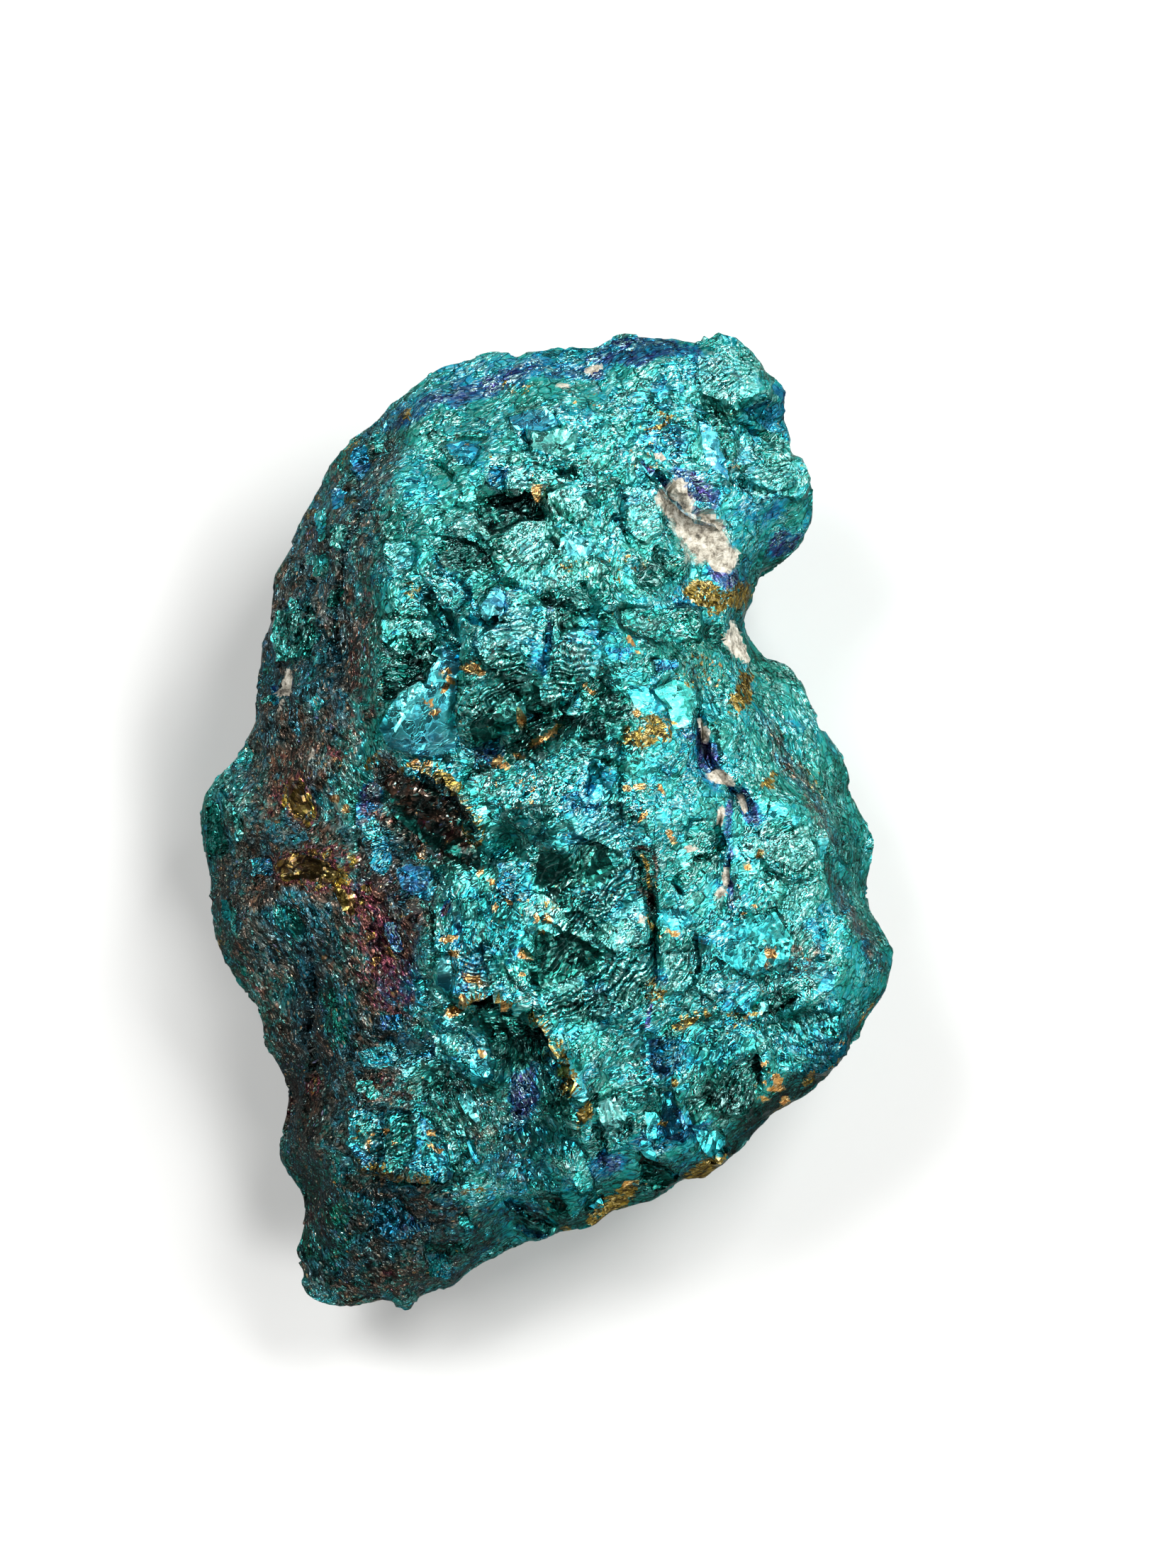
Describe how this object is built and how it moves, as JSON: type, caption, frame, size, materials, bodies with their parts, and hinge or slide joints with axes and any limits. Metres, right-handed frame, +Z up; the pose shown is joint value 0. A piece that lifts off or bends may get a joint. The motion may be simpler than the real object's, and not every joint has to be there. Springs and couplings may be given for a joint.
{
  "type": "peacock ore stone",
  "caption": "Rough lump of peacock ore with a broken, faceted upper face, sharp ledges and cracks, an iridescent teal tarnish, and a small flat spot under it to rest on.",
  "frame": {"origin": "middle of the stone's box, on the surface that it rests on", "axes": "+Y along the stone's length, +Z up, away from the surface that it rests on"},
  "size_m": [0.04, 0.056, 0.0219],
  "materials": {
    "tarnished_ore": "metallic copper ore with a teal, blue and violet iridescent tarnish over broken, foil-like facets"
  },
  "bodies": {
    "root": {"peacock_ore": "tarnished_ore"}
  },
  "joints": []
}
